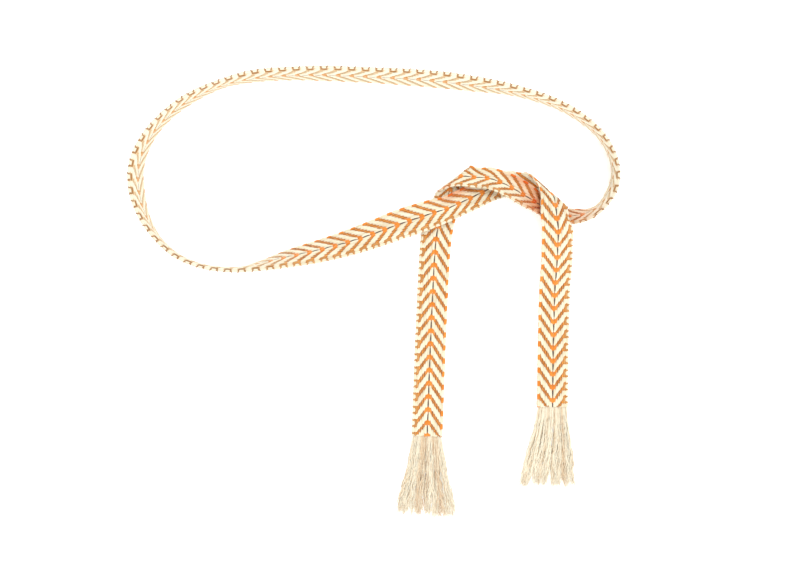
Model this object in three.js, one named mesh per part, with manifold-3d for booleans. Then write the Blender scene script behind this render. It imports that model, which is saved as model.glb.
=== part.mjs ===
// A woven sash: one long flat band with a fringe at each end, tied in front with a half knot.
// The closed loop stands on its edge, the two tails and their fringes lie flat.
// Millimetres, +X to the right of the loop, +Y to its back, +Z up. The origin is the middle of
// the whole belt's outline, on the surface that it lies on.

import * as THREE from 'three';
import * as BufferGeometryUtils from 'three/addons/utils/BufferGeometryUtils.js';
import Module from 'manifold-3d';

// Driving dimensions
const BAND_WIDTH = 30;
const BAND_THICKNESS = 2.2;
const LOOP_LENGTH = 476;
const LOOP_DEPTH = 200;
const LEFT_TAIL = 246;
const RIGHT_TAIL = 217;
const FRINGE_LENGTH = 78;
const LEFT_FRINGE_SPREAD = 62;
const RIGHT_FRINGE_SPREAD = 59;
const LEFT_FRINGE_LEAN = 1;
const RIGHT_FRINGE_LEAN = -5;
const HEAD_LENGTH = 7;
const HEAD_GAP = 0.3;
const LOCKS = 9;
const LOCK_HEIGHT = 4.4;
const LOCK_OVERLAP = 1.45;

// How finely the band and the locks are divided
const LOOP_STEP = 9;
const KNOT_STEP = 4.5;
const LOCK_STEPS = 7;
const LOCK_SIDES = 8;
const STEEPEST_SKEW = 20;

// The loop's upper rim flares outwards from this share of half the width. A full flare, in
// degrees, sets the middle of the band back by RIM_SET_BACK.
const RIM_START = 0.45;
const FULL_FLARE = 48;
const RIM_SET_BACK = 2;

// The knot sits at this place in the loop, as shares of the loop's length and depth
const KNOT_PLACE = { x: 0.263, y: -0.1 };

// Columns of the knot's tables. x and y count band widths from the knot's middle. layer counts
// the bands that lie underneath, and rise is what lies open under it, in band widths. across is
// the way in degrees from the plain selvedge to the marked one, tilt how far the marked one is
// raised, curl how far the edges bend, and squeeze the share of the width that is left.
const KNOT_COLUMNS = ['x', 'y', 'layer', 'rise', 'across', 'tilt', 'curl', 'squeeze'];

const LEFT_TAIL_INTO_KNOT = [
  [-2.14, -1.67, 0, 0.000, 175, 0, 0, 1.00],
  [-2.01, -0.94, 0, 0.000, 178, 0, 0, 1.00],
  [-1.84, -0.49, 0, 0.000, 192, 0, 0, 0.96],
];
const OVER_FRONT_STRAP = [
  [-0.88, 0.34, 2, 0.270, 235, 16, -8, 0.72],
  [-0.48, 0.31, 2, 0.290, 244, 20, -14, 0.80],
  [-0.07, 0.18, 2, 0.290, 246, 22, -20, 0.84],
  [0.34, -0.02, 2, 0.270, 244, 22, -25, 0.90],
  [0.72, -0.24, 2, 0.243, 242, 22, -25, 0.90],
  [1.19, -0.52, 1, 0.283, 243, 24, -20, 0.76],
  [1.60, -0.80, 1, 0.270, 248, 27, -10, 0.63],
  [2.10, -0.91, 1, 0.243, 257, 38, 0, 0.70],
  [2.52, -0.90, 1, 0.270, 267, 54, 0, 0.82],
];
const FRONT_STRAP = [
  [-3.33, -1.16, 0, 0.233, 650, 15, 0, 1.00],
  [-2.61, -0.92, 1, 0.163, 652, 14, 0, 0.99],
  [-2.20, -0.78, 1, 0.140, 653, 14, 0, 0.94],
  [-1.79, -0.66, 1, 0.150, 654, 13, -8, 0.86],
  [-1.41, -0.49, 1, 0.153, 653, 12, -12, 0.85],
  [-1.03, -0.31, 1, 0.137, 651, 11, -14, 0.86],
  [-0.62, -0.10, 1, 0.073, 650, 8, -10, 0.84],
  [-0.21, 0.09, 0, 0.050, 648, 4, 0, 0.84],
  [0.13, 0.18, 0, 0.000, 644, 0, 0, 0.84],
  [0.46, 0.19, 0, 0.000, 642, 0, 0, 0.84],
];
const RIGHT_TAIL_OUT_OF_KNOT = [
  [1.70, -0.99, 3, 0.563, 698, -2, -20, 0.94],
  [1.76, -1.39, 3, 0.497, 709, -4, -20, 1.00],
  [1.78, -1.83, 2, 0.410, 717, -4, -10, 1.00],
  [1.80, -2.28, 1, 0.303, 721, -2, 0, 1.00],
  [1.81, -2.74, 0, 0.203, 723, 0, 0, 1.00],
  [1.80, -3.23, 0, 0.060, 724, 0, 0, 1.00],
];

// The two soft rolls of the knot, where the band climbs round the strap that it crosses and
// turns over. crease and heading are ways in degrees, and fan is how far the width swings
// before and after the crease. open is the roll's free radius in band widths.
const LEFT_ROLL = {
  x: -1.70, y: -0.05, crease: 36, heading: 76, open: 0.130, layers: 2,
  turned: 180, fan: [-14, 16], squeeze: [0.90, 0.68],
};
const RIGHT_ROLL = {
  x: 0.82, y: 0.13, crease: -43, heading: -4, open: 0.21, layers: 3,
  turned: 720, fan: [-14, 14], squeeze: [0.85, 0.85],
};
const ROLL_PARTS = 7;
const ROLL_PARTS_USED = 5;

// Columns of the loop's table: x and y are shares of the loop's length and depth from its
// middle. The band rests on its plain selvedge, which tilt then leans over from flat. flare is
// how far the rim bends outwards.
const LOOP_COLUMNS = ['x', 'y', 'across', 'tilt', 'flare'];
const LOOP_ROUND = [
  [0.445, -0.222, 281, 75, 16], [0.469, -0.185, 306, 88, 32], [0.489, -0.116, 332, 92, 46],
  [0.497, -0.023, 355, 99, 44], [0.490, 0.061, 368, 102, 44], [0.467, 0.158, 396, 102, 44],
  [0.427, 0.244, 416, 100, 44], [0.373, 0.317, 430, 98, 48], [0.289, 0.380, 440, 94, 46],
  [0.196, 0.415, 444, 84, 38], [0.104, 0.438, 448, 80, 26], [0.001, 0.453, 450, 83, 30],
  [-0.102, 0.462, 451, 84, 27], [-0.174, 0.462, 456, 89, 36], [-0.247, 0.451, 464, 93, 48],
  [-0.315, 0.412, 473, 99, 34], [-0.381, 0.339, 486, 96, 27], [-0.433, 0.245, 499, 96, 26],
  [-0.470, 0.137, 517, 95, 40], [-0.491, 0.013, 532, 91, 54], [-0.491, -0.110, 547, 88, 50],
  [-0.476, -0.237, 563, 93, 42], [-0.449, -0.345, 576, 98, 46], [-0.408, -0.434, 592, 97, 52],
  [-0.355, -0.491, 612, 97, 54], [-0.297, -0.507, 627, 92, 54], [-0.240, -0.486, 637, 77, 50],
  [-0.185, -0.452, 641, 60, 40], [-0.123, -0.416, 644, 46, 28], [-0.061, -0.373, 646, 34, 14],
  [0.001, -0.321, 648, 23, 4],
];

// Columns of the tails: x in band widths from the knot's middle, down as a share of the tail
const TAIL_COLUMNS = ['x', 'down', 'across'];
const LEFT_TAIL_ROWS = [
  [-2.44, 1.000, 178],
  [-2.31, 0.573, 177.3],
];
const RIGHT_TAIL_ROWS = [
  [1.79, 0.530, 723.5],
  [1.75, 0.759, 721.5],
  [1.73, 1.000, 720],
];

// The band's cross-section: places across as shares of half the width, and up as shares of
// half the thickness, round the rounded selvedges
const SECTION = [
  [-0.94, -1], [-0.3, -1], [0.35, -1], [0.68, -1], [0.94, -1], [1, -0.45], [1, 0.45],
  [0.94, 1], [0.68, 1], [0.35, 1], [-0.3, 1], [-0.94, 1], [-1, 0.45], [-1, -0.45],
];

// Each lock's length as a share of the fringe, and how far its tip swings, in lock widths
const LOCK_REACH = [0.93, 0.98, 0.95, 1.0, 0.97, 1.0, 0.96, 0.99, 0.94];
const LOCK_SWING = [-0.3, 0.2, -0.1, 0.3, 0.0, -0.2, 0.2, -0.1, 0.3];
// A lock's width and height along its length, as shares of their fullest
const LOCK_FULLNESS = [
  { along: 0, width: 0.8, height: 0.55 },
  { along: 0.3, width: 0.95, height: 1 },
  { along: 0.7, width: 1, height: 0.8 },
  { along: 1, width: 0.62, height: 0.3 },
];

const rad = THREE.MathUtils.degToRad;
const rows = (columns, table) => table.map((row) => Object.fromEntries(columns.map((name, i) => [name, row[i]])));
const knot = { x: KNOT_PLACE.x * LOOP_LENGTH, y: KNOT_PLACE.y * LOOP_DEPTH };

// Where a section lies, from the knot's table
function knotSection({ x, y, layer, rise, ...pose }) {
  return {
    x: knot.x + x * BAND_WIDTH,
    y: knot.y + y * BAND_WIDTH,
    z: (0.5 + layer) * BAND_THICKNESS + rise * BAND_WIDTH,
    ...pose,
    flare: 0,
  };
}

// A section that stands or leans on its plain selvedge
function loopSection({ x, y, across, tilt, flare }) {
  const back = (RIM_SET_BACK * flare) / FULL_FLARE;
  return {
    x: x * LOOP_LENGTH - Math.cos(rad(across)) * back,
    y: y * LOOP_DEPTH - Math.sin(rad(across)) * back,
    z: (Math.sin(rad(tilt)) * BAND_WIDTH + Math.abs(Math.cos(rad(tilt))) * BAND_THICKNESS) / 2,
    across, tilt, curl: 0, squeeze: 1, flare,
  };
}

// A section of a tail, flat on the surface
function tailSection(length) {
  return ({ x, down, across }) => ({
    x: knot.x + x * BAND_WIDTH,
    y: knot.y - down * length,
    z: BAND_THICKNESS / 2,
    across, tilt: 0, curl: 0, squeeze: 1, flare: 0,
  });
}

// The sections of a soft roll: half a turn round an axis along the crease, while the band
// travels along that axis as far as its heading makes it
function rollSections({ x, y, crease, heading, open, layers, turned, fan, squeeze }) {
  const radius = (layers * BAND_THICKNESS) / 2 + open * BAND_WIDTH;
  const skew = rad(heading - crease);
  const drift = radius / Math.tan(Math.abs(skew));
  const outward = rad(crease) + Math.sign(skew) * (Math.PI / 2);
  return Array.from({ length: ROLL_PARTS_USED + 1 }, (_, k) => {
    const share = k / ROLL_PARTS;
    const turn = Math.PI * share;
    const out = radius * Math.sin(turn);
    return {
      x: knot.x + x * BAND_WIDTH + Math.cos(rad(crease)) * drift * turn + Math.cos(outward) * out,
      y: knot.y + y * BAND_WIDTH + Math.sin(rad(crease)) * drift * turn + Math.sin(outward) * out,
      z: BAND_THICKNESS / 2 + radius * (1 - Math.cos(turn)),
      across: crease + turned + fan[0] * (1 - share) + fan[1] * share,
      tilt: 0, curl: 0, squeeze: squeeze[0] * (1 - share) + squeeze[1] * share, flare: 0,
    };
  });
}

// The band's whole course, from the end of the left tail to the end of the right one
const course = [
  ...rows(TAIL_COLUMNS, LEFT_TAIL_ROWS).map(tailSection(LEFT_TAIL)),
  ...rows(KNOT_COLUMNS, LEFT_TAIL_INTO_KNOT).map(knotSection),
  ...rollSections(LEFT_ROLL),
  ...rows(KNOT_COLUMNS, OVER_FRONT_STRAP).map(knotSection),
  ...rows(LOOP_COLUMNS, LOOP_ROUND).map(loopSection),
  ...rows(KNOT_COLUMNS, FRONT_STRAP).map(knotSection),
  ...rollSections(RIGHT_ROLL),
  ...rows(KNOT_COLUMNS, RIGHT_TAIL_OUT_OF_KNOT).map(knotSection),
  ...rows(TAIL_COLUMNS, RIGHT_TAIL_ROWS).map(tailSection(RIGHT_TAIL)),
];

const apart = (a, b) => Math.hypot(a.x - b.x, a.y - b.y, a.z - b.z);
const nearKnot = (s) => Math.hypot(s.x - knot.x, s.y - knot.y) < 4 * BAND_WIDTH;

// Smooth sections between those of the course: every value runs on one cubic through the rows
function smoothSections(list) {
  const at = [0];
  for (let i = 1; i < list.length; i++) at.push(at[i - 1] + Math.sqrt(apart(list[i - 1], list[i])));
  const names = Object.keys(list[0]);
  const slope = (name, i) => {
    const before = Math.max(i - 1, 0);
    const after = Math.min(i + 1, list.length - 1);
    if (before === i || after === i) {
      return (list[after][name] - list[before][name]) / (at[after] - at[before]);
    }
    const back = (list[i][name] - list[before][name]) / (at[i] - at[before]);
    const ahead = (list[after][name] - list[i][name]) / (at[after] - at[i]);
    return (back * (at[after] - at[i]) + ahead * (at[i] - at[before])) / (at[after] - at[before]);
  };
  const smooth = [];
  for (let i = 0; i < list.length - 1; i++) {
    const step = nearKnot(list[i]) && nearKnot(list[i + 1]) ? KNOT_STEP : LOOP_STEP;
    const parts = Math.max(1, Math.round(apart(list[i], list[i + 1]) / step));
    const span = at[i + 1] - at[i];
    for (let k = 0; k < parts; k++) {
      const t = k / parts;
      smooth.push(Object.fromEntries(names.map((name) => [name,
        (2 * t ** 3 - 3 * t ** 2 + 1) * list[i][name]
        + (t ** 3 - 2 * t ** 2 + t) * span * slope(name, i)
        + (3 * t ** 2 - 2 * t ** 3) * list[i + 1][name]
        + (t ** 3 - t ** 2) * span * slope(name, i + 1),
      ])));
    }
  }
  smooth.push(list[list.length - 1]);
  return smooth;
}

// One closed surface through rings of points, with both ends closed
function skinRings(rings) {
  const sides = rings[0].length;
  const position = rings.flat().flatMap((p) => p.toArray());
  const index = [];
  for (let r = 0; r < rings.length - 1; r++) {
    for (let i = 0; i < sides; i++) {
      const a = r * sides + i;
      const b = r * sides + ((i + 1) % sides);
      index.push(a, b, b + sides, a, b + sides, a + sides);
    }
  }
  const last = (rings.length - 1) * sides;
  for (let i = 1; i < sides - 1; i++) {
    index.push(0, i + 1, i);
    index.push(last, last + i, last + i + 1);
  }
  const geometry = new THREE.BufferGeometry();
  geometry.setAttribute('position', new THREE.Float32BufferAttribute(position, 3));
  geometry.setIndex(index);
  return geometry;
}

// A step along a bent cross-section, from a first angle: how far out and up it leads
function arc(from, bend, side, half) {
  const angle = from + bend * side;
  if (Math.abs(bend) < 1e-4) {
    return { out: side * half * Math.cos(from), lift: side * half * Math.sin(from), angle };
  }
  return {
    out: (half * (Math.sin(angle) - Math.sin(from))) / bend,
    lift: (half * (Math.cos(from) - Math.cos(angle))) / bend,
    angle,
  };
}

// The ring of points round the band at one section
function bandRing(list, i) {
  const middle = (s) => new THREE.Vector3(s.x, s.y, s.z);
  const { across, tilt, curl, squeeze, flare } = list[i];
  const before = middle(list[Math.max(i - 1, 0)]);
  const along = middle(list[Math.min(i + 1, list.length - 1)]).sub(before).normalize();
  const way = new THREE.Vector3(
    Math.cos(rad(tilt)) * Math.cos(rad(across)),
    Math.cos(rad(tilt)) * Math.sin(rad(across)),
    Math.sin(rad(tilt)),
  );
  const normal = new THREE.Vector3().crossVectors(along, way);
  const skew = Math.max(normal.length(), Math.sin(rad(STEEPEST_SKEW)));
  normal.normalize();
  const half = (BAND_WIDTH / 2) * squeeze / skew;
  const body = (side) => arc(0, rad(curl), side, half);
  const rimFoot = body(RIM_START);
  const rimBend = rad(curl) + rad(flare) / (1 - RIM_START);
  return SECTION.map(([side, up]) => {
    const onRim = side > RIM_START;
    const base = onRim ? rimFoot : { out: 0, lift: 0 };
    const bent = onRim ? arc(rimFoot.angle, rimBend, side - RIM_START, half) : body(side);
    const [out, lift, angle] = [base.out + bent.out, base.lift + bent.lift, bent.angle];
    const thick = (up * BAND_THICKNESS) / 2;
    const point = middle(list[i]);
    point.addScaledVector(way, out - thick * Math.sin(angle));
    point.addScaledVector(normal, lift + thick * Math.cos(angle));
    point.z = Math.max(point.z, 0);
    return point;
  });
}

// The end of a tail: its middle, and which way it points
function tailEnd(end, before) {
  const along = new THREE.Vector3(end.x - before.x, end.y - before.y, 0).normalize();
  return { middle: new THREE.Vector3(end.x, end.y, 0), along, side: new THREE.Vector3(-along.y, along.x, 0) };
}

const fullnessAt = (share) => {
  const next = Math.max(1, LOCK_FULLNESS.findIndex((row) => row.along >= share));
  const [a, b] = [LOCK_FULLNESS[next - 1], LOCK_FULLNESS[next]];
  const t = (share - a.along) / (b.along - a.along);
  return { width: THREE.MathUtils.lerp(a.width, b.width, t), height: THREE.MathUtils.lerp(a.height, b.height, t) };
};

// A flattened lock of fringe that starts inside the head and fans out on the surface
function lock(end, spread, lean, i) {
  const place = (i + 0.5) / LOCKS * 2 - 1;
  const lockWidth = spread / LOCKS;
  const start = HEAD_GAP + HEAD_LENGTH / 2;
  const reach = FRINGE_LENGTH * LOCK_REACH[i % LOCK_REACH.length] - start;
  const from = place * (BAND_WIDTH / 2 - lockWidth / 3);
  const to = place * (spread - lockWidth) / 2 + lean + LOCK_SWING[i % LOCK_SWING.length] * lockWidth / 2;
  const rings = [];
  for (let k = 0; k <= LOCK_STEPS; k++) {
    const share = k / LOCK_STEPS;
    const { width, height } = fullnessAt(share);
    const room = THREE.MathUtils.lerp(BAND_WIDTH / LOCKS, lockWidth, share) * LOCK_OVERLAP;
    const middle = end.middle.clone()
      .addScaledVector(end.along, start + share * reach)
      .addScaledVector(end.side, from + (to - from) * share ** 1.2);
    const halfHeight = (LOCK_HEIGHT / 2) * height;
    middle.z = halfHeight;
    rings.push(Array.from({ length: LOCK_SIDES }, (_, n) => {
      const angle = ((n + 0.5) / LOCK_SIDES) * 2 * Math.PI;
      return middle.clone()
        .addScaledVector(end.side, Math.cos(angle) * (room / 2) * width)
        .add(new THREE.Vector3(0, 0, Math.max(Math.sin(angle), -0.92) * halfHeight));
    }));
  }
  return skinRings(rings);
}

// The flat head that the locks hang from, as wide and as thick as the band
function fringeHead(end) {
  const ring = (distance) => SECTION.map(([side, up]) => end.middle.clone()
    .addScaledVector(end.along, distance)
    .addScaledVector(end.side, side * BAND_WIDTH / 2)
    .add(new THREE.Vector3(0, 0, (1 + up) * BAND_THICKNESS / 2)));
  return skinRings([ring(HEAD_GAP), ring(HEAD_GAP + HEAD_LENGTH)]);
}

const wasm = await Module();
wasm.setup();

function toManifold(geometry) {
  const bare = geometry.clone();
  bare.deleteAttribute('normal');
  bare.deleteAttribute('uv');
  const merged = BufferGeometryUtils.mergeVertices(bare, 1e-4);
  return new wasm.Manifold(new wasm.Mesh({
    numProp: 3,
    vertProperties: new Float32Array(merged.attributes.position.array),
    triVerts: new Uint32Array(merged.index.array),
  }));
}

function fromManifold(solid) {
  const mesh = solid.getMesh();
  const geometry = new THREE.BufferGeometry();
  geometry.setAttribute('position', new THREE.Float32BufferAttribute(mesh.vertProperties, 3));
  geometry.setIndex(Array.from(mesh.triVerts));
  return geometry;
}

function fringe(end, spread, lean) {
  let solid = toManifold(fringeHead(end));
  for (let i = 0; i < LOCKS; i++) solid = solid.add(toManifold(lock(end, spread, lean, i)));
  return fromManifold(solid);
}

function namedMesh(name, geometry, color) {
  geometry.computeVertexNormals();
  const material = new THREE.MeshStandardMaterial({ color, roughness: 0.92, metalness: 0 });
  const mesh = new THREE.Mesh(geometry, material);
  mesh.name = name;
  return mesh;
}

const sections = smoothSections(course);
const band = skinRings(sections.map((_, i) => bandRing(sections, i)));
const leftEnd = tailEnd(course[0], course[1]);
const rightEnd = tailEnd(course[course.length - 1], course[course.length - 2]);

const belt = new THREE.Group();
belt.add(namedMesh('woven_band', band, 0xe8b98a));
belt.add(namedMesh('tassel_fringe_left', fringe(leftEnd, LEFT_FRINGE_SPREAD, LEFT_FRINGE_LEAN), 0xf3e6cf));
belt.add(namedMesh('tassel_fringe_right', fringe(rightEnd, RIGHT_FRINGE_SPREAD, RIGHT_FRINGE_LEAN), 0xf3e6cf));

// The origin goes to the middle of the outline, on the surface underneath
const outline = new THREE.Box3().setFromObject(belt);
const centre = outline.getCenter(new THREE.Vector3());
belt.position.set(-centre.x, -centre.y, -outline.min.z);

export default belt;
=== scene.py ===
"""The woven sash: its weave, thread by thread, and its two fringes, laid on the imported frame.

Everything is in metres, in the frame's own axes. The band's course repeats the tables of the
part's source, because this script can't read that file.
"""

import math

import bpy
import numpy as np
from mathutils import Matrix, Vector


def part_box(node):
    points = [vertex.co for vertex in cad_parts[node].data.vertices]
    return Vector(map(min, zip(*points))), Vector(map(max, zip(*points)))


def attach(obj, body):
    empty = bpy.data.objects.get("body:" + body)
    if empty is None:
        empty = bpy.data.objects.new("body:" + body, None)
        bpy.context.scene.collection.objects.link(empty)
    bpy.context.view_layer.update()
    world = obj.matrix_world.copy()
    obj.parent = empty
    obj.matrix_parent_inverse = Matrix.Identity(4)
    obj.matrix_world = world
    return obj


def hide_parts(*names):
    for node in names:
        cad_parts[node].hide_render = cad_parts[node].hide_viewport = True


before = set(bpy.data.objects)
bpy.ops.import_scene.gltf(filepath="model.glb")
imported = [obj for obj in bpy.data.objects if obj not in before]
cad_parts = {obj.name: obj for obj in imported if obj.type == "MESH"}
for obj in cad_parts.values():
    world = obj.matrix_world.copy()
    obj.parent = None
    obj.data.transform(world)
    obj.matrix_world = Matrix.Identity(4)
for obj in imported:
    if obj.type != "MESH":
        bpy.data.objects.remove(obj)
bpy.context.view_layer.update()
rng = np.random.default_rng(7)

# Sizes of the belt
BAND_WIDTH = 0.030
BAND_THICKNESS = 0.0022
LOOP_LENGTH = 0.476
LOOP_DEPTH = 0.200
LEFT_TAIL = 0.246
RIGHT_TAIL = 0.217
KNOT = np.array([0.263 * LOOP_LENGTH, -0.1 * LOOP_DEPTH])
COURSE_STEP = 0.0012
STEEPEST_SKEW = 20
RIM_START = 0.45
FULL_FLARE = 48
RIM_SET_BACK = 0.002
# Painted light: the colours wash out towards a paler, washed-out tone where the way across the
# band rises by more than this share, as on the loop's upright walls
UPRIGHT_FROM = 0.8

# The table that finds the section of a place: its reach in half widths, columns and step
TABLE_REACH = 1.05
TABLE_COLUMNS = 43
TABLE_STEP = 0.001
SHORT_OF_LAST = 1.001
STRAIGHTEST_BEND = 1e-4

# The camera looks straight down over this place, counted from the loop's middle
PHOTO_MIDDLE = np.array([0.022, -0.1135])
CAMERA_HEIGHT = 0.700
PHOTO_WIDTH = 0.794
SENSOR = 36.0

# The course. x and y of the knot's rows count band widths from the knot's middle
LEFT_TAIL_ROWS = [(-2.44, 1.000, 178), (-2.31, 0.573, 177.3)]
RIGHT_TAIL_ROWS = [(1.79, 0.530, 723.5), (1.75, 0.759, 721.5), (1.73, 1.000, 720)]
LEFT_TAIL_INTO_KNOT = [
    (-2.14, -1.67, 0, 0.000, 175, 0, 0, 1.00),
    (-2.01, -0.94, 0, 0.000, 178, 0, 0, 1.00),
    (-1.84, -0.49, 0, 0.000, 192, 0, 0, 0.96),
]
OVER_FRONT_STRAP = [
    (-0.88, 0.34, 2, 0.270, 235, 16, -8, 0.72),
    (-0.48, 0.31, 2, 0.290, 244, 20, -14, 0.80),
    (-0.07, 0.18, 2, 0.290, 246, 22, -20, 0.84),
    (0.34, -0.02, 2, 0.270, 244, 22, -25, 0.90),
    (0.72, -0.24, 2, 0.243, 242, 22, -25, 0.90),
    (1.19, -0.52, 1, 0.283, 243, 24, -20, 0.76),
    (1.60, -0.80, 1, 0.270, 248, 27, -10, 0.63),
    (2.10, -0.91, 1, 0.243, 257, 38, 0, 0.70),
    (2.52, -0.90, 1, 0.270, 267, 54, 0, 0.82),
]
FRONT_STRAP = [
    (-3.33, -1.16, 0, 0.233, 650, 15, 0, 1.00),
    (-2.61, -0.92, 1, 0.163, 652, 14, 0, 0.99),
    (-2.20, -0.78, 1, 0.140, 653, 14, 0, 0.94),
    (-1.79, -0.66, 1, 0.150, 654, 13, -8, 0.86),
    (-1.41, -0.49, 1, 0.153, 653, 12, -12, 0.85),
    (-1.03, -0.31, 1, 0.137, 651, 11, -14, 0.86),
    (-0.62, -0.10, 1, 0.073, 650, 8, -10, 0.84),
    (-0.21, 0.09, 0, 0.050, 648, 4, 0, 0.84),
    (0.13, 0.18, 0, 0.000, 644, 0, 0, 0.84),
    (0.46, 0.19, 0, 0.000, 642, 0, 0, 0.84),
]
RIGHT_TAIL_OUT_OF_KNOT = [
    (1.70, -0.99, 3, 0.563, 698, -2, -20, 0.94),
    (1.76, -1.39, 3, 0.497, 709, -4, -20, 1.00),
    (1.78, -1.83, 2, 0.410, 717, -4, -10, 1.00),
    (1.80, -2.28, 1, 0.303, 721, -2, 0, 1.00),
    (1.81, -2.74, 0, 0.203, 723, 0, 0, 1.00),
    (1.80, -3.23, 0, 0.060, 724, 0, 0, 1.00),
]
LEFT_ROLL = dict(
    x=-1.70, y=-0.05, crease=36, heading=76, open_width=0.130, layers=2,
    turned=180, fan=(-14, 16), squeeze=(0.90, 0.68),
)
RIGHT_ROLL = dict(
    x=0.82, y=0.13, crease=-43, heading=-4, open_width=0.21, layers=3,
    turned=720, fan=(-14, 14), squeeze=(0.85, 0.85),
)
ROLL_PARTS = 7
ROLL_PARTS_USED = 5
# Shares of the loop's length and depth from its middle, then the way across, the tilt and
# how far the rim flares
LOOP_ROUND = [
    (0.445, -0.222, 281, 75, 16), (0.469, -0.185, 306, 88, 32), (0.489, -0.116, 332, 92, 46),
    (0.497, -0.023, 355, 99, 44), (0.490, 0.061, 368, 102, 44), (0.467, 0.158, 396, 102, 44),
    (0.427, 0.244, 416, 100, 44), (0.373, 0.317, 430, 98, 48), (0.289, 0.380, 440, 94, 46),
    (0.196, 0.415, 444, 84, 38), (0.104, 0.438, 448, 80, 26), (0.001, 0.453, 450, 83, 30),
    (-0.102, 0.462, 451, 84, 27), (-0.174, 0.462, 456, 89, 36), (-0.247, 0.451, 464, 93, 48),
    (-0.315, 0.412, 473, 99, 34), (-0.381, 0.339, 486, 96, 27), (-0.433, 0.245, 499, 96, 26),
    (-0.470, 0.137, 517, 95, 40), (-0.491, 0.013, 532, 91, 54), (-0.491, -0.110, 547, 88, 50),
    (-0.476, -0.237, 563, 93, 42), (-0.449, -0.345, 576, 98, 46), (-0.408, -0.434, 592, 97, 52),
    (-0.355, -0.491, 612, 97, 54), (-0.297, -0.507, 627, 92, 54), (-0.240, -0.486, 637, 77, 50),
    (-0.185, -0.452, 641, 60, 40), (-0.123, -0.416, 644, 46, 28), (-0.061, -0.373, 646, 34, 14),
    (0.001, -0.321, 648, 23, 4),
]


def tail_rows(table, length):
    """Flat sections of a tail: x, y, z, across, tilt, curl, squeeze, flare."""
    return [
        (KNOT[0] + x * BAND_WIDTH, KNOT[1] - down * length, BAND_THICKNESS / 2, across, 0, 0, 1, 0)
        for x, down, across in table
    ]


def knot_rows(table):
    """Sections of the knot, raised over the bands that lie underneath."""
    return [
        (KNOT[0] + x * BAND_WIDTH, KNOT[1] + y * BAND_WIDTH,
         (0.5 + layer) * BAND_THICKNESS + rise * BAND_WIDTH, across, tilt, curl, squeeze, 0)
        for x, y, layer, rise, across, tilt, curl, squeeze in table
    ]


def loop_rows(table):
    """Sections that stand or lean on the plain selvedge."""
    made = []
    for x, y, across, tilt, flare in table:
        way, lean = math.radians(across), math.radians(tilt)
        back = RIM_SET_BACK * flare / FULL_FLARE
        z = (math.sin(lean) * BAND_WIDTH + abs(math.cos(lean)) * BAND_THICKNESS) / 2
        made.append((
            x * LOOP_LENGTH - math.cos(way) * back, y * LOOP_DEPTH - math.sin(way) * back, z,
            across, tilt, 0, 1, flare,
        ))
    return made


def roll_rows(x, y, crease, heading, open_width, layers, turned, fan, squeeze):
    """Half a turn round an axis along the crease, travelling along that axis."""
    radius = layers * BAND_THICKNESS / 2 + open_width * BAND_WIDTH
    skew = math.radians(heading - crease)
    drift = radius / math.tan(abs(skew))
    axis = math.radians(crease)
    outward = axis + math.copysign(math.pi / 2, skew)
    made = []
    for k in range(ROLL_PARTS_USED + 1):
        share = k / ROLL_PARTS
        turn = math.pi * share
        out = radius * math.sin(turn)
        made.append((
            KNOT[0] + x * BAND_WIDTH + math.cos(axis) * drift * turn + math.cos(outward) * out,
            KNOT[1] + y * BAND_WIDTH + math.sin(axis) * drift * turn + math.sin(outward) * out,
            BAND_THICKNESS / 2 + radius * (1 - math.cos(turn)),
            crease + turned + fan[0] * (1 - share) + fan[1] * share, 0, 0,
            squeeze[0] * (1 - share) + squeeze[1] * share, 0,
        ))
    return made


def smooth_course():
    """Every value of the sections on one cubic through the rows, at a fine even step."""
    rows = np.array(
        tail_rows(LEFT_TAIL_ROWS, LEFT_TAIL) + knot_rows(LEFT_TAIL_INTO_KNOT)
        + roll_rows(**LEFT_ROLL) + knot_rows(OVER_FRONT_STRAP) + loop_rows(LOOP_ROUND)
        + knot_rows(FRONT_STRAP) + roll_rows(**RIGHT_ROLL)
        + knot_rows(RIGHT_TAIL_OUT_OF_KNOT) + tail_rows(RIGHT_TAIL_ROWS, RIGHT_TAIL)
    )
    chord = np.linalg.norm(np.diff(rows[:, :3], axis=0), axis=1)
    at = np.concatenate(([0], np.cumsum(np.sqrt(chord))))
    rate = np.diff(rows, axis=0) / np.diff(at)[:, None]
    gap = np.diff(at)[:, None]
    slope = np.empty_like(rows)
    slope[0], slope[-1] = rate[0], rate[-1]
    slope[1:-1] = (rate[:-1] * gap[1:] + rate[1:] * gap[:-1]) / (gap[1:] + gap[:-1])
    pieces = []
    for i in range(len(rows) - 1):
        parts = max(2, math.ceil(chord[i] / COURSE_STEP))
        t = (np.arange(parts) / parts)[:, None]
        span = at[i + 1] - at[i]
        pieces.append(
            (2 * t**3 - 3 * t**2 + 1) * rows[i] + (t**3 - 2 * t**2 + t) * span * slope[i]
            + (3 * t**2 - 2 * t**3) * rows[i + 1] + (t**3 - t**2) * span * slope[i + 1]
        )
    pieces.append(rows[-1:])
    return np.concatenate(pieces)


def arc(start, bend, side, half):
    """A step along a bent cross-section, from a first angle: how far out and up it leads."""
    bend = np.where(np.abs(bend) < STRAIGHTEST_BEND, STRAIGHTEST_BEND, bend)
    angle = start + bend * side
    out = half * (np.sin(angle) - np.sin(start)) / bend
    lift = half * (np.cos(start) - np.cos(angle)) / bend
    return out, lift, angle


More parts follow.
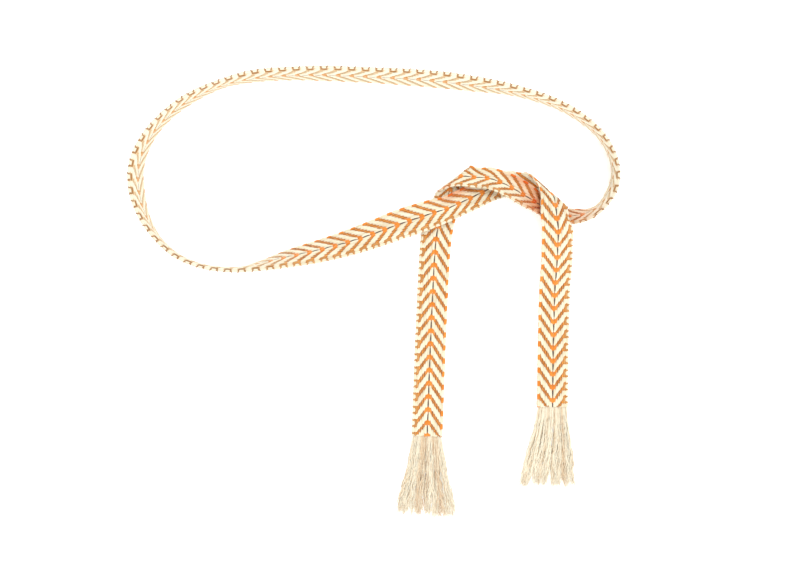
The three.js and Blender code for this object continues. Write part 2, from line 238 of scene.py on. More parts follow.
class Band:
    """The band as a ruled surface, with places on it given as along, across and up."""

    def __init__(self, shift):
        course = smooth_course()
        self.middle = course[:, :3] + shift
        across, tilt = np.radians(course[:, 3]), np.radians(course[:, 4])
        self.way = np.stack(
            [np.cos(tilt) * np.cos(across), np.cos(tilt) * np.sin(across), np.sin(tilt)], 1)
        ahead = np.gradient(self.middle, axis=0)
        ahead /= np.linalg.norm(ahead, axis=1)[:, None]
        normal = np.cross(ahead, self.way)
        skew = np.maximum(np.linalg.norm(normal, axis=1), math.sin(math.radians(STEEPEST_SKEW)))
        self.normal = normal / np.linalg.norm(normal, axis=1)[:, None]
        self.half = BAND_WIDTH / 2 * course[:, 6] / skew
        self.bend = np.radians(course[:, 5])
        self.rim_bend = self.bend + np.radians(course[:, 7]) / (1 - RIM_START)
        step = np.linalg.norm(np.diff(self.middle, axis=0), axis=1)
        self.at = np.concatenate(([0], np.cumsum(step)))
        self.length = self.at[-1]
        self.lag = self.half * (ahead * self.way).sum(1)
        self.table_sides = np.linspace(-TABLE_REACH, TABLE_REACH, TABLE_COLUMNS)
        self.table_along = np.linspace(0, self.length, int(self.length / TABLE_STEP))
        self.table = np.stack([
            np.interp(self.table_along, np.maximum.accumulate(self.at + side * self.lag), self.at)
            for side in self.table_sides
        ])

    def section_at(self, along, side):
        """The place along the middle whose section holds each point of the flat band."""
        j = np.clip((side - self.table_sides[0]) / (self.table_sides[1] - self.table_sides[0]),
                    0, len(self.table_sides) - SHORT_OF_LAST)
        i = np.clip(along / self.table_along[1], 0, len(self.table_along) - SHORT_OF_LAST)
        j0, i0 = j.astype(int), i.astype(int)
        fj, fi = j - j0, i - i0
        near = self.table[j0, i0] * (1 - fi) + self.table[j0, i0 + 1] * fi
        far = self.table[j0 + 1, i0] * (1 - fi) + self.table[j0 + 1, i0 + 1] * fi
        return near * (1 - fj) + far * fj

    def faded(self, along):
        """How far painted light washes out the colours where the band stands upright, from 0 to 1.
        """
        upright = np.interp(along, self.at, np.abs(self.way[:, 2]))
        return np.clip((upright - UPRIGHT_FROM) / (1 - UPRIGHT_FROM), 0, 1)

    def vectors_at(self, s, values):
        """Vectors that are given for each section, at other places along the middle."""
        return np.stack([np.interp(s, self.at, values[:, k]) for k in range(3)], -1)

    def points(self, along, side, up, ruled=False):
        """World points. side runs from -1, the plain selvedge, to 1, the marked one."""
        s = along if ruled else self.section_at(along, side)
        middle, way = self.vectors_at(s, self.middle), self.vectors_at(s, self.way)
        normal = self.vectors_at(s, self.normal)
        half = np.interp(s, self.at, self.half)
        foot = np.minimum(side, RIM_START)
        foot_out, foot_lift, foot_angle = arc(0, np.interp(s, self.at, self.bend), foot, half)
        out, lift, angle = arc(foot_angle, np.interp(s, self.at, self.rim_bend), side - foot, half)
        out = out + foot_out - up * np.sin(angle)
        lift = lift + foot_lift + up * np.cos(angle)
        return middle + way * out[..., None] + normal * lift[..., None]


def new_object(name, vertices, faces, material, loops_uv=None, **values_at_points):
    """A smooth mesh object from arrays of points and of equal-sided faces."""
    mesh = bpy.data.meshes.new(name)
    blocks = faces if isinstance(faces, list) else [faces]
    mesh.vertices.add(len(vertices))
    mesh.vertices.foreach_set("co", np.asarray(vertices, np.float32).ravel())
    corners = np.concatenate([block.ravel() for block in blocks])
    sizes = np.concatenate([np.full(len(block), block.shape[1]) for block in blocks])
    starts = np.concatenate(([0], np.cumsum(sizes)[:-1]))
    mesh.loops.add(len(corners))
    mesh.loops.foreach_set("vertex_index", corners.astype(np.int32))
    mesh.polygons.add(len(sizes))
    mesh.polygons.foreach_set("loop_start", starts.astype(np.int32))
    mesh.update(calc_edges=True)
    mesh.validate()
    if loops_uv is not None:
        layer = mesh.uv_layers.new(name="thread")
        layer.data.foreach_set("uv", np.concatenate(loops_uv).astype(np.float32).ravel())
    for label, values in values_at_points.items():
        attribute = mesh.attributes.new(label, "FLOAT", "POINT")
        attribute.data.foreach_set("value", np.asarray(values, np.float32).ravel())
    mesh.polygons.foreach_set("use_smooth", np.ones(len(sizes), bool))
    obj = bpy.data.objects.new(name, mesh)
    bpy.context.scene.collection.objects.link(obj)
    mesh.materials.append(material)
    return obj


# The weave's chart: columns of floats on each side of the middle line, each column a little
# behind the one before
REPEAT = 0.0131
COLUMNS = 7
COLUMN_WIDTH = 0.00192
SELVEDGE_WIDTH = 0.0027
MIDDLE_GAP = 0.0012
LAG = 0.00274
HALF_WIDTH = BAND_WIDTH / 2
CHART_HALF_WIDTH = 0.0145
# The wefts lie a little closer in some stretches: places along the band, and how far the
# chart has shifted there
CHART_SHIFT = [
    (0.0, 0.0004), (0.17, 0.0005), (0.72, -0.0053), (0.83, -0.0035), (1.33, -0.0091),
    (1.41, -0.0104), (1.515, -0.0049), (1.71, -0.0049),
]


def column_middle(column):
    """How far a column's middle is from the band's, the selvedge being the last."""
    if column < COLUMNS:
        return MIDDLE_GAP / 2 + (column - 0.5) * COLUMN_WIDTH
    return MIDDLE_GAP / 2 + (COLUMNS - 1) * COLUMN_WIDTH + SELVEDGE_WIDTH / 2


# A float's shape, and how high its middle lies over the band's
CREAM_FLOAT = dict(length=0.0117, width=0.0023, height=0.0016, up=0.00072)
CREAM_EDGE_FLOAT = dict(length=0.0096, width=0.0029, height=0.0016, up=0.00068)
ORANGE_FLOAT = dict(length=0.0056, width=0.0019, height=0.0010, up=0.00020)
# Teeth: thin dark floats along each step between columns. They follow the serrated edge of the
# orange stripes and are coloured as painted shade in the crevices there
TOOTH_SHADE_SHAPE = dict(length=0.0070, width=0.0008, height=0.0009, up=0.00105)
HEART_FLOAT = dict(length=0.0060, width=0.0032, height=0.0014, up=0.00076)
BLOB_FLOAT = dict(length=0.0070, width=0.0030, height=0.0014, up=0.00064)
OVAL_FLOAT = dict(length=0.0050, width=0.0025, height=0.0008, up=0.00044)
BETWEEN_FLOAT = dict(length=0.0066, width=0.0027, height=0.0010, up=0.00044)
THICK_TICK = dict(length=0.0019, width=0.0030, height=0.0012, up=0.00064)
THIN_TICK = dict(length=0.0012, width=0.0030, height=0.0011, up=0.00060)
BASE_FLOAT = dict(length=0.0076, width=0.0018, height=0.0010, up=0.00062)
MIDDLE_FLOAT = dict(length=0.0072, width=0.0014, height=0.0009, up=0.00096)
FLOAT_SLANT = math.radians(11)
CREAM_SLANT_AT_MIDDLE = 0.3
HEART_INSET = 0.0002
TICK_GAP = 0.0003
TICK_SLANT = 0.3
END_OVERLAP = 0.0008
SHORTEST_FLOAT = 0.0010
FLOAT_RINGS = 5
FLOAT_SIDES = 8
TOOTH_RINGS = 3
TOOTH_SIDES = 6

# A float is blunt at its tips, and they dip by this share of its height
TIP_BLUNTNESS = 5
TIP_ROUNDNESS = 0.6
TIP_DIP = 0.45

# How unevenly the threads lie
PLACE_WOBBLE = 0.00012
SIDE_WOBBLE = 0.00005
WIDTH_WOBBLE = 0.05
SLANT_WOBBLE = 0.03

# Nothing of the cloth sinks lower than this
LOWEST_FLOAT = 0.00005
LOWEST_CORE = 0.0001

# Where the layers of the knot shade each other: face, place along and how far, side and how
# far, strength
SHADED = [
    (-1, 0.352, 0.017, 0.0, 2.0, 1.0), (-1, 0.324, 0.014, -1.0, 0.5, 0.8),
    (-1, 1.388, 0.020, -1.0, 0.5, 0.85), (-1, 0.247, 0.012, 0.9, 0.4, 0.7),
    (-1, 0.392, 0.022, 0.0, 2.0, 0.4),
]
SHADE_TINT = (0.88, 0.39, 0.22, 1)


def shade_at(face, along, side):
    """How much the knot's own layers darken and redden a place, from 0 to 1."""
    total = np.zeros(np.broadcast_shapes(along.shape, side.shape))
    for on_face, middle, spread, across, width, strength in SHADED:
        if on_face == face:
            away = ((along - middle) / spread) ** 2 + ((side - across) / width) ** 2
            total = total + strength * np.exp(-away)
    return np.clip(total, 0, 1)


def float_rings(rings, sides):
    """A float's points at unit size, from tip to tip: how far ahead, out and up each lies."""
    t = np.sin(np.linspace(-0.5, 0.5, rings + 2) * math.pi)[1:-1]
    girth = (1 - np.abs(t) ** TIP_BLUNTNESS) ** TIP_ROUNDNESS
    angle = np.arange(sides) / sides * 2 * math.pi
    ahead = np.concatenate(([-1], np.repeat(t, sides), [1]))
    out = np.concatenate(([0], (girth[:, None] * np.cos(angle)).ravel(), [0]))
    up = np.concatenate(([0], (girth[:, None] * np.sin(angle)).ravel(), [0]))
    return ahead, out, up


def float_faces(rings, sides, face):
    """A float's quads and the triangles at its tips, each with its corners' texture places."""
    r, k = np.meshgrid(np.arange(rings - 1), np.arange(sides), indexing="ij")
    a = 1 + r * sides + k
    b = 1 + r * sides + (k + 1) % sides
    quads = np.stack([a, b, b + sides, a + sides], -1).reshape(-1, 4)
    ring = np.stack([r, r, r + 1, r + 1], -1).reshape(-1, 4) + 1
    turn = np.stack([k, k + 1, k + 1, k], -1).reshape(-1, 4) / sides
    quad_uv = np.stack([ring / (rings + 1), turn], -1)
    k = np.arange(sides)
    last_tip = sides * rings + 1
    last_ring = last_tip - sides
    tips = np.concatenate([
        np.stack([np.zeros(sides, int), 1 + (k + 1) % sides, 1 + k], -1),
        np.stack([np.full(sides, last_tip), last_ring + k, last_ring + (k + 1) % sides], -1),
    ])
    tip_uv = np.zeros((2 * sides, 3, 2))
    tip_uv[:sides, 1:, 0] = 1 / (rings + 1)
    tip_uv[sides:, 0, 0] = 1
    tip_uv[sides:, 1:, 0] = rings / (rings + 1)
    tip_uv[:, :, 1] = np.tile(k / sides, 2)[:, None]
    if face < 0:
        return quads[:, ::-1], quad_uv[:, ::-1], tips[:, ::-1], tip_uv[:, ::-1]
    return quads, quad_uv, tips, tip_uv


class Floats:
    """The threads' floats on one face of the band, collected column by column."""

    def __init__(self):
        self.rows = []

    def add(self, along, side, shape, slant=0.0):
        for place in np.atleast_1d(along):
            self.rows.append((place, side, shape["length"], shape["width"], shape["height"],
                              shape["up"], slant))

    def cut_at_ends(self, band):
        """The floats' values, shifted as the wefts lie and cut where the band ends."""
        rows = np.array(self.rows)
        rows[:, 0] += np.interp(rows[:, 0], *np.transpose(CHART_SHIFT))
        first = np.maximum(rows[:, 0] - rows[:, 2] / 2, -END_OVERLAP)
        last = np.minimum(rows[:, 0] + rows[:, 2] / 2, band.length + END_OVERLAP)
        rows[:, 0], rows[:, 2] = (first + last) / 2, last - first
        return rows[rows[:, 2] > SHORTEST_FLOAT]

    def build(self, name, band, face, material, rings=FLOAT_RINGS, sides=FLOAT_SIDES):
        """All the floats as one object, each a closed grain that lies on the band."""
        rows = self.cut_at_ends(band)
        count = len(rows)
        wobble = rng.normal(0, 1, (count, 4))
        along, side, length, width, height, up, slant = rows.T
        along = along + wobble[:, 0] * PLACE_WOBBLE
        side = side + wobble[:, 1] * SIDE_WOBBLE
        width = width * (1 + WIDTH_WOBBLE * wobble[:, 2])
        slant = slant + SLANT_WOBBLE * wobble[:, 3]
        ring_ahead, ring_out, ring_up = float_rings(rings, sides)
        forward = ring_ahead[None] * length[:, None] / 2
        outward = ring_out[None] * width[:, None] / 2 - np.tan(slant)[:, None] * forward
        dip = TIP_DIP * height[:, None] * ring_ahead[None] ** 2
        rise = up[:, None] + ring_up[None] * height[:, None] / 2 - dip
        place, across = along[:, None] + forward, (side[:, None] + outward) / CHART_HALF_WIDTH
        points = band.points(place, across, face * rise)
        points[..., 2] = np.maximum(points[..., 2], LOWEST_FLOAT)
        quads, quad_uv, tips, tip_uv = float_faces(rings, sides, face)
        size = len(ring_ahead)
        offset = (np.arange(count) * size)[:, None, None]
        faces = [(quads[None] + offset).reshape(-1, 4), (tips[None] + offset).reshape(-1, 3)]
        uv = [np.tile(corners.reshape(-1, 2), (count, 1)) for corners in (quad_uv, tip_uv)]
        tone = np.repeat(rng.random(count), size)
        return new_object(name, points.reshape(-1, 3), faces, material, loops_uv=uv,
                          tone=tone, shade=shade_at(face, place, across), faded=band.faded(place))


def weave(band, face, materials):
    """All the floats of one face: face 1 shows on the tails, face -1 inside the loop."""
    phase = 0 if face > 0 else REPEAT / 2
    repeats = np.arange(-2, int(band.length / REPEAT) + 3) * REPEAT + phase
    cream, orange, bright, tan, dark, teeth = (Floats() for _ in range(6))
    for half in (-1, 1):
        slant = half * FLOAT_SLANT
        # The marked half has no teeth beside its marks
        last_toothed = COLUMNS - 1 if half < 0 else COLUMNS - 3
        for column in range(1, COLUMNS + 1):
            side = half * column_middle(column)
            coloured = repeats - (column - 1) * LAG
            # Painted shade: a thin dark float on each step between columns, where the orange
            # stripe's edge lies in shade
            if 1 < column <= last_toothed:
                border = half * (MIDDLE_GAP / 2 + column * COLUMN_WIDTH)
                teeth.add(coloured - LAG / 2, border, TOOTH_SHADE_SHAPE)
            if column == 1:
                bright.add(coloured, side - half * HEART_INSET, HEART_FLOAT, slant)
                cream.add(coloured + REPEAT / 2, side, CREAM_FLOAT, slant * CREAM_SLANT_AT_MIDDLE)
            elif half > 0 and column == COLUMNS - 1:
                tan.add(coloured, side, BASE_FLOAT)
                cream.add(coloured + REPEAT / 2, side, BETWEEN_FLOAT, slant)
            elif column < COLUMNS:
                orange.add(coloured, side, ORANGE_FLOAT, slant)
                cream.add(coloured + REPEAT / 2, side, CREAM_FLOAT, slant)
            elif half < 0:
                bright.add(coloured, side, BLOB_FLOAT)
                cream.add(coloured + REPEAT / 2, side, CREAM_EDGE_FLOAT)
            else:
                base = coloured + LAG
                reach = OVAL_FLOAT["length"] / 2 + TICK_GAP
                cream.add(base, side, OVAL_FLOAT)
                tan.add(base + reach, side, THICK_TICK, -TICK_SLANT)
                tan.add(base - reach, side, THIN_TICK, TICK_SLANT)
                cream.add(base + REPEAT / 2, side, BETWEEN_FLOAT)
    dark.add(repeats + REPEAT / 2, 0.0, MIDDLE_FLOAT)
    # The back face takes brighter copies of the orange and tooth colours: painted light where that
    # face shows, on the front strap, the knot and inside the loop
    label, layer = ("front", "") if face > 0 else ("back", "inner_")
    return [
        cream.build(f"cream_floats_{label}", band, face, materials["cream"]),
        orange.build(f"orange_floats_{label}", band, face, materials[layer + "orange"]),
        bright.build(f"heart_floats_{label}", band, face, materials["bright"]),
        tan.build(f"mark_floats_{label}", band, face, materials["tan"]),
        teeth.build(f"tooth_painted_shade_floats_{label}", band, face, materials[layer + "tooth"],
                    rings=TOOTH_RINGS, sides=TOOTH_SIDES),
        dark.build(f"middle_floats_{label}", band, face, materials["dark"]),
    ]


# The core's section: side, and up in halves of its thickness
CORE_THICKNESS = 0.0010
CORE_SECTION = [
    (-0.97, -0.3), (-0.9, -1), (-0.3, -1), (0.3, -1), (0.5, -1), (0.7, -1), (0.9, -1),
    (0.97, -0.3), (0.97, 0.3), (0.9, 1), (0.7, 1), (0.5, 1), (0.3, 1), (-0.3, 1), (-0.9, 1),
    (-0.97, 0.3),
]
CORE_STEP = 0.0025
CORE_SHORT = 0.0010


def ring_faces(rings, sides):
    """Quads between closed rings of points, and a fan over each end ring."""
    r, k = np.meshgrid(np.arange(rings - 1), np.arange(sides), indexing="ij")
    a = (r * sides + k).ravel()
    b = (r * sides + (k + 1) % sides).ravel()
    quads = np.stack([a, b, b + sides, a + sides], -1)
    k = np.arange(1, sides - 1)
    last = (rings - 1) * sides
    caps = np.concatenate([
        np.stack([np.zeros_like(k), k + 1, k], -1),
        np.stack([np.full_like(k, last), last + k, last + k + 1], -1),
    ])
    return [quads, caps]


def band_core(band, material):
    """The cloth under the floats: the wefts and the threads that pass to the other face."""
    along = np.linspace(CORE_SHORT, band.length - CORE_SHORT, int(band.length / CORE_STEP))
    section = np.array(CORE_SECTION)
    s, side = np.meshgrid(along, section[:, 0], indexing="ij")
    up = np.broadcast_to(section[:, 1] * CORE_THICKNESS / 2, s.shape)
    points = band.points(s, side, up, ruled=True)
    points[..., 2] = np.maximum(points[..., 2], LOWEST_CORE)
    return new_object("band_core", points.reshape(-1, 3), ring_faces(len(along), len(section)),
                      material, faded=np.repeat(band.faded(along), len(section)))


# The fringes: yarns in locks, fanning out on the surface
FRINGE_LENGTH = 0.0828
YARNS = 400
YARN_RADIUS = 0.00036
YARN_STEPS = 26
YARN_SIDES = 5
LOCKS = 13
LOCK_REACH = (0.97, 1.01)
LOCK_SWING = 0.0006
YARN_REACH = (0.90, 1.0)
YARN_GIRTH = (0.8, 1.15)
YARN_TAPER = 0.75
TAPER_POWER = 8
# Where the yarns start: in from the band's edges, and inside its end
START_INSET = 0.0010
START_OVERLAP = 0.0008
TIP_INSET = 0.001
# How much of a yarn's place at the tips is its lock's, and how the fan opens on the way
LOCK_SHARE = 0.45
FAN_POWER = 1.15
# Waves along a yarn: how far each swings, and how many there are
SWAY = (0.0015, 2.6)
CRIMP = (0.00075, 6.0)
LOCK_SWAY = (0.0010, 1.6)
LIFT = (0.0004, 2.7)
SWAY_SHARES = (0.3, 1.0)
# The heap of yarns: its height, least height and form along, and how it rises from the band
HEAP_HEIGHT = 0.0040
HEAP_LEAST = 0.0006
HEAP_STRETCH = 0.9
HEAP_START = 0.12
ROOT_HEIGHT = 0.0012
ROOT_RISE = 0.02
YARN_CLEARANCE = 0.0001
# The yarns' tones: how much is each yarn's own and how much its lock's, and how rare dark is
OWN_TONE = (0.6, 1.6)
LOCK_TONE = (0.42, 2)
# Side, the band's end and a section before it, the spread at the tips and the lean
FRINGES = [("left", 0, 60, 0.0625, 0.001), ("right", -1, -60, 0.060, -0.005)]


def ripple(t, waves, start):
    """A wave along each yarn, from an angle of its own."""
    return np.sin(2 * math.pi * waves * t + start[:, None])


def fringe(name, end, before, spread, lean, material):
    """The loose warp ends of one tail. end and before give the way that the tail points."""
    ahead = (end - before)[:2]
    ahead = np.append(ahead / np.linalg.norm(ahead), 0)
    side = np.array([-ahead[1], ahead[0], 0])
    up = np.array([0, 0, 1.0])
    t = np.linspace(0, 1, YARN_STEPS)
    place = np.sort(rng.uniform(-1, 1, YARNS))
    lock = np.clip(((place + 1) / 2 * LOCKS).astype(int), 0, LOCKS - 1)
    lock_reach = rng.uniform(*LOCK_REACH, LOCKS)
    lock_swing = rng.normal(0, LOCK_SWING, LOCKS)
    lock_middle = (np.arange(LOCKS) + 0.5) / LOCKS * 2 - 1
    lock_wave = rng.uniform(0, 2 * math.pi, LOCKS)
    level = rng.uniform(0, 1, YARNS)
    reach = FRINGE_LENGTH * lock_reach[lock] * rng.uniform(*YARN_REACH, YARNS)
    start = place * (HALF_WIDTH - START_INSET)
    loose = rng.normal(0, 0.5 / LOCKS, YARNS)
    target = lock_middle[lock] * LOCK_SHARE + place * (1 - LOCK_SHARE) + loose
    target = target * (spread / 2 - TIP_INSET) + lean + lock_swing[lock]
    wave = rng.uniform(0, 2 * math.pi, (3, YARNS))
    size = rng.uniform(*SWAY_SHARES, (2, YARNS))
    x = (start[:, None] + (target - start)[:, None] * t[None] ** FAN_POWER
         + SWAY[0] * size[0][:, None] * ripple(t, SWAY[1], wave[0]) * t
         + CRIMP[0] * ripple(t, CRIMP[1], wave[1]) * np.sqrt(t)
         + LOCK_SWAY[0] * ripple(t, LOCK_SWAY[1], lock_wave[lock]) * t)
    y = reach[:, None] * t[None] - START_OVERLAP
    heap = np.sin(math.pi * np.clip(t * HEAP_STRETCH + HEAP_START, 0, 1))
    heap = np.minimum(HEAP_HEIGHT * heap + HEAP_LEAST, ROOT_HEIGHT + ROOT_RISE * t)
    z = (YARN_RADIUS + YARN_CLEARANCE + level[:, None] * heap
         + LIFT[0] * size[1][:, None] * (1 + ripple(t, LIFT[1], wave[2])) * t)
    path = end[None, None] * np.array([1, 1, 0]) + x[..., None] * side + y[..., None] * ahead
    path = path + z[..., None] * up
    along = np.gradient(path, axis=1)
    along /= np.linalg.norm(along, axis=2)[..., None]
    across = np.cross(along, up)
    across /= np.linalg.norm(across, axis=2)[..., None]
    over = np.cross(across, along)
    taper = YARN_RADIUS * (1 - YARN_TAPER * t**TAPER_POWER)
    angle = np.arange(YARN_SIDES) / YARN_SIDES * 2 * math.pi
    radius = taper[None] * rng.uniform(*YARN_GIRTH, YARNS)[:, None]
    points = (path[:, :, None]
              + across[:, :, None] * (radius[..., None] * np.cos(angle))[..., None]
              + over[:, :, None] * (radius[..., None] * np.sin(angle))[..., None])
    per_yarn = YARN_STEPS * YARN_SIDES
    quads, caps = ring_faces(YARN_STEPS, YARN_SIDES)
    offset = (np.arange(YARNS) * per_yarn)[:, None, None]
    faces = [(quads[None, :, ::-1] + offset).reshape(-1, 4),
             (caps[None, :, ::-1] + offset).reshape(-1, 3)]
    lock_tone = rng.random(LOCKS) ** LOCK_TONE[1]
    own_tone = rng.random(YARNS) ** OWN_TONE[1]
    tone = np.clip(OWN_TONE[0] * own_tone + LOCK_TONE[0] * lock_tone[lock], 0, 1)
    return new_object(name, points.reshape(-1, 3), faces, material,
                      tone=np.repeat(tone, per_yarn))


def srgb(red, green, blue):
    """A colour as the eye names it, in the light's own numbers."""
    values = np.array([red, green, blue]) / 255
    linear = np.where(values <= 0.04045, values / 12.92, ((values + 0.055) / 1.055) ** 2.4)
    return (*linear, 1)


# Cotton: its shine, the mottle of its colour, its fibres and its plies
YARN_ROUGHNESS = 0.9
YARN_SHEEN = 0.7
SHEEN_ROUGHNESS = 0.45
YARN_SPECULAR = 0.2
MOTTLE_SCALE = 420
MOTTLE_DETAIL = 3
MOTTLE_SHARE = 0.3
TONE_SHARE = 0.7
FIBRE_SCALE = 2600
FIBRE_DETAIL = 4
FIBRE_SHARE = 0.6
PLY_SCALE = 0.5
PLIES_ROUND = 2
PLY_DISTORTION = 0.6
BUMP_STRENGTH = 0.35
BUMP_HEIGHT = 0.0003


def yarn_material(name, colours, faded, ply_turns=0):
    """Cotton yarn: colours picked by each thread's tone, plies and fibres as bump."""
    material = bpy.data.materials.new(name)
    material.use_nodes = True
    nodes, links = material.node_tree.nodes, material.node_tree.links
    shader = nodes["Principled BSDF"]
    shader.inputs["Roughness"].default_value = YARN_ROUGHNESS
    shader.inputs["Sheen Weight"].default_value = YARN_SHEEN
    shader.inputs["Sheen Roughness"].default_value = SHEEN_ROUGHNESS
    shader.inputs["Specular IOR Level"].default_value = YARN_SPECULAR
    tone = nodes.new("ShaderNodeAttribute")
    tone.attribute_name = "tone"
    place = nodes.new("ShaderNodeTexCoord")
    mottle = nodes.new("ShaderNodeTexNoise")
    mottle.inputs["Scale"].default_value = MOTTLE_SCALE
    mottle.inputs["Detail"].default_value = MOTTLE_DETAIL
    links.new(place.outputs["Object"], mottle.inputs["Vector"])
    mix = nodes.new("ShaderNodeMath")
    mix.operation = "MULTIPLY_ADD"
    mix.inputs[1].default_value = TONE_SHARE
    part = nodes.new("ShaderNodeMath")
    part.operation = "MULTIPLY"
    part.inputs[1].default_value = MOTTLE_SHARE
    links.new(mottle.outputs["Fac"], part.inputs[0])
    links.new(tone.outputs["Fac"], mix.inputs[0])
    links.new(part.outputs[0], mix.inputs[2])
    ramp = nodes.new("ShaderNodeValToRGB")
    links.new(mix.outputs[0], ramp.inputs["Fac"])
    ramp.color_ramp.elements[0].color = srgb(*colours[0])
    ramp.color_ramp.elements[1].color = srgb(*colours[-1])
    for i, colour in enumerate(colours[1:-1], 1):
        element = ramp.color_ramp.elements.new(i / (len(colours) - 1))
        element.color = srgb(*colour)
    colour = ramp.outputs["Color"]
    # Painted light and shade on the colour: the washout where the band stands upright is mixed in,
    # and the knot's shade tint is multiplied in
    for label, way, other in (("faded", "MIX", srgb(*faded)), ("shade", "MULTIPLY", SHADE_TINT)):
        amount = nodes.new("ShaderNodeAttribute")
        amount.attribute_name = label
        change = nodes.new("ShaderNodeMix")
        change.data_type = "RGBA"
        change.blend_type = way
        links.new(amount.outputs["Fac"], change.inputs["Factor"])
        links.new(colour, change.inputs["A"])
        change.inputs["B"].default_value = other
        colour = change.outputs["Result"]
    links.new(colour, shader.inputs["Base Color"])
    fibres = nodes.new("ShaderNodeTexNoise")
    fibres.inputs["Scale"].default_value = FIBRE_SCALE
    fibres.inputs["Detail"].default_value = FIBRE_DETAIL
    links.new(place.outputs["Object"], fibres.inputs["Vector"])
    height = fibres.outputs["Fac"]
    if ply_turns:
        turned = nodes.new("ShaderNodeMapping")
        turned.inputs["Scale"].default_value = (ply_turns, PLIES_ROUND, 1)
        links.new(place.outputs["UV"], turned.inputs["Vector"])
        plies = nodes.new("ShaderNodeTexWave")
        plies.bands_direction = "DIAGONAL"
        plies.inputs["Scale"].default_value = PLY_SCALE
        plies.inputs["Distortion"].default_value = PLY_DISTORTION
        links.new(turned.outputs["Vector"], plies.inputs["Vector"])
        both = nodes.new("ShaderNodeMath")
        both.operation = "MULTIPLY_ADD"
        both.inputs[1].default_value = FIBRE_SHARE
        links.new(fibres.outputs["Fac"], both.inputs[0])
        links.new(plies.outputs["Fac"], both.inputs[2])
        height = both.outputs[0]
    bump = nodes.new("ShaderNodeBump")
    bump.inputs["Strength"].default_value = BUMP_STRENGTH
    bump.inputs["Distance"].default_value = BUMP_HEIGHT
    links.new(height, bump.inputs["Height"])
    links.new(bump.outputs["Normal"], shader.inputs["Normal"])
    return material


# Each yarn's colours by tone, its washed-out colour painted as light where the band stands
# upright, and the turns of its plies
MATERIALS = {
    "cream": yarn_material(
        "cream_yarn", [(210, 197, 167), (227, 218, 190), (235, 227, 204)], (230, 222, 200), 3),
    "orange": yarn_material(
        "orange_yarn", [(192, 120, 46), (218, 140, 56), (230, 154, 72)], (213, 180, 132), 3),
    # Brighter copies of the orange and tooth colours for face -1: painted light on the same yarns
    "inner_orange": yarn_material(
        "inner_orange_painted_light", [(204, 130, 54), (228, 150, 66), (238, 164, 84)], (213, 180, 132), 3),
    "inner_tooth": yarn_material(
        "inner_tooth_painted_shade_and_light", [(172, 108, 48), (192, 124, 58), (206, 140, 74)], (218, 194, 154), 2),
    # The teeth: the orange yarn drawn in a darker orange-brown, as painted shade at the stepped
    # edges of the stripes
    "tooth": yarn_material(
        "tooth_painted_shade", [(148, 88, 34), (172, 106, 42), (188, 122, 54)], (218, 194, 154), 2),
    "bright": yarn_material(
        "bright_yarn", [(206, 118, 34), (220, 130, 44), (230, 142, 58)], (202, 146, 80), 3),
    "tan": yarn_material(
        "mark_yarn", [(176, 120, 60), (196, 138, 72), (208, 152, 86)], (162, 116, 64), 3),
    "dark": yarn_material("middle_yarn", [(84, 70, 64), (112, 88, 72)], (150, 140, 128), 2),
    # The core is the orange yarn under the floats, drawn a little darker as painted shade in the
    # gaps between them
    "core": yarn_material("core_cloth", [(182, 116, 52), (206, 138, 70)], (213, 184, 142)),
    "fringe": yarn_material(
        "fringe_yarn", [(238, 232, 213), (231, 221, 197), (212, 184, 148), (162, 114, 74)],
        (230, 219, 192)),
}


def set_camera(shift):
    """Straight down from over the photo's middle, framed as the photo is."""
    data = bpy.data.cameras.new("camera")
    data.sensor_width = SENSOR
    data.lens = SENSOR * CAMERA_HEIGHT / PHOTO_WIDTH
    camera = bpy.data.objects.new("camera", data)
    camera.location = (*(PHOTO_MIDDLE + shift[:2]), CAMERA_HEIGHT)
    bpy.context.scene.collection.objects.link(camera)
    bpy.context.scene.camera = camera


# Name, place, turn in degrees, size and energy
LIGHTS = [
    ("upper_light", (0.4, 0.4, 1.5), (-15, 15, 0), 1.0, 10),
    ("front_light", (0.0, -1.5, 0.5), (72, 0, 0), 1.4, 11),
]
ROOM_STRENGTH = 1.03
WHITE = (1, 1, 1, 1)
FLOOR_COLOUR = (0.93, 0.93, 0.93, 1)
FLOOR_REACH = 3.0
FLOOR_ROUGHNESS = 0.95
FLOOR_GLOW = 0.34
FLOOR_DROP = 0.0002


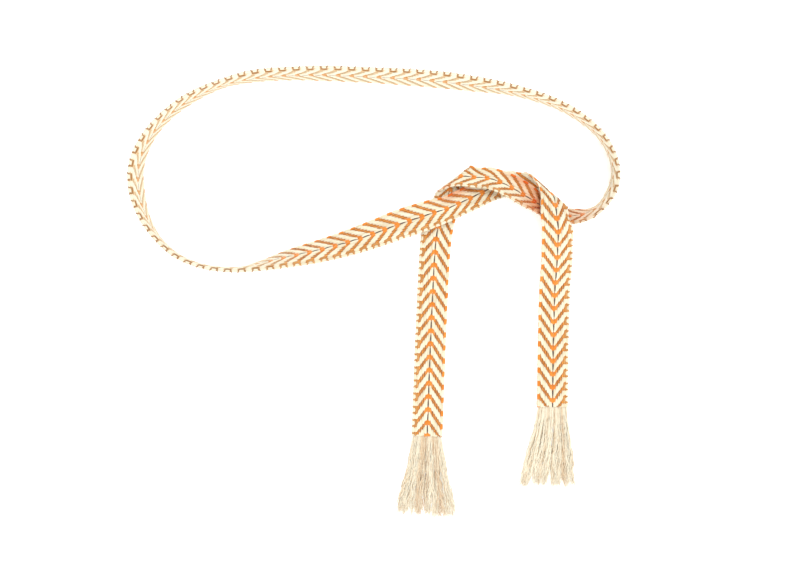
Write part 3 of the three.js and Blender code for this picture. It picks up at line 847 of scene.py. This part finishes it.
def set_light():
    """An even pale room, one light from the upper right and a low one from the front."""
    world = bpy.data.worlds.new("room")
    world.use_nodes = True
    background = world.node_tree.nodes["Background"]
    background.inputs["Color"].default_value = WHITE
    background.inputs["Strength"].default_value = ROOM_STRENGTH
    scene = bpy.context.scene
    scene.world = world
    scene.view_settings.view_transform = "Standard"
    for name, place, turn, size, energy in LIGHTS:
        data = bpy.data.lights.new(name, "AREA")
        data.shape = "DISK"
        data.size = size
        data.energy = energy
        light = bpy.data.objects.new(name, data)
        light.location = place
        light.rotation_euler = [math.radians(angle) for angle in turn]
        scene.collection.objects.link(light)


def set_floor():
    """A plain white floor under the whole belt."""
    vertices = [(x * FLOOR_REACH, y * FLOOR_REACH, 0)
                for x, y in ((-1, -1), (1, -1), (1, 1), (-1, 1))]
    material = bpy.data.materials.new("floor")
    material.use_nodes = True
    shader = material.node_tree.nodes["Principled BSDF"]
    shader.inputs["Base Color"].default_value = FLOOR_COLOUR
    shader.inputs["Roughness"].default_value = FLOOR_ROUGHNESS
    shader.inputs["Emission Color"].default_value = WHITE
    shader.inputs["Emission Strength"].default_value = FLOOR_GLOW
    floor = new_object("floor", vertices, np.array([[0, 1, 2, 3]]), material)
    floor.location.z = -FLOOR_DROP


def lie_on_frame():
    """How far the course has to move to lie on the frame's band."""
    low, high = (np.array(corner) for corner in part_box("woven_band"))
    unmoved = Band(np.zeros(3))
    along, side = np.meshgrid(unmoved.at, [-1, 1], indexing="ij")
    edges = np.concatenate([
        unmoved.points(along, side, np.full(along.shape, up), ruled=True).reshape(-1, 3)
        for up in (-BAND_THICKNESS / 2, BAND_THICKNESS / 2)
    ])
    shift = (low + high) / 2 - (edges.min(0) + edges.max(0)) / 2
    return np.array([shift[0], shift[1], 0])


shift = lie_on_frame()
set_camera(shift)
set_light()
set_floor()
band = Band(shift)
core = band_core(band, MATERIALS["core"])
floats = weave(band, 1, MATERIALS) + weave(band, -1, MATERIALS)
fringes = {
    name: fringe(f"fringe_{name}", band.middle[end], band.middle[before], spread, lean,
                 MATERIALS["fringe"])
    for name, end, before, spread, lean in FRINGES
}

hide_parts("woven_band")
for name, piece in fringes.items():
    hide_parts(f"tassel_fringe_{name}")
for piece in [core, *floats, *fringes.values()]:
    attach(piece, "root")

bpy.context.view_layer.update()
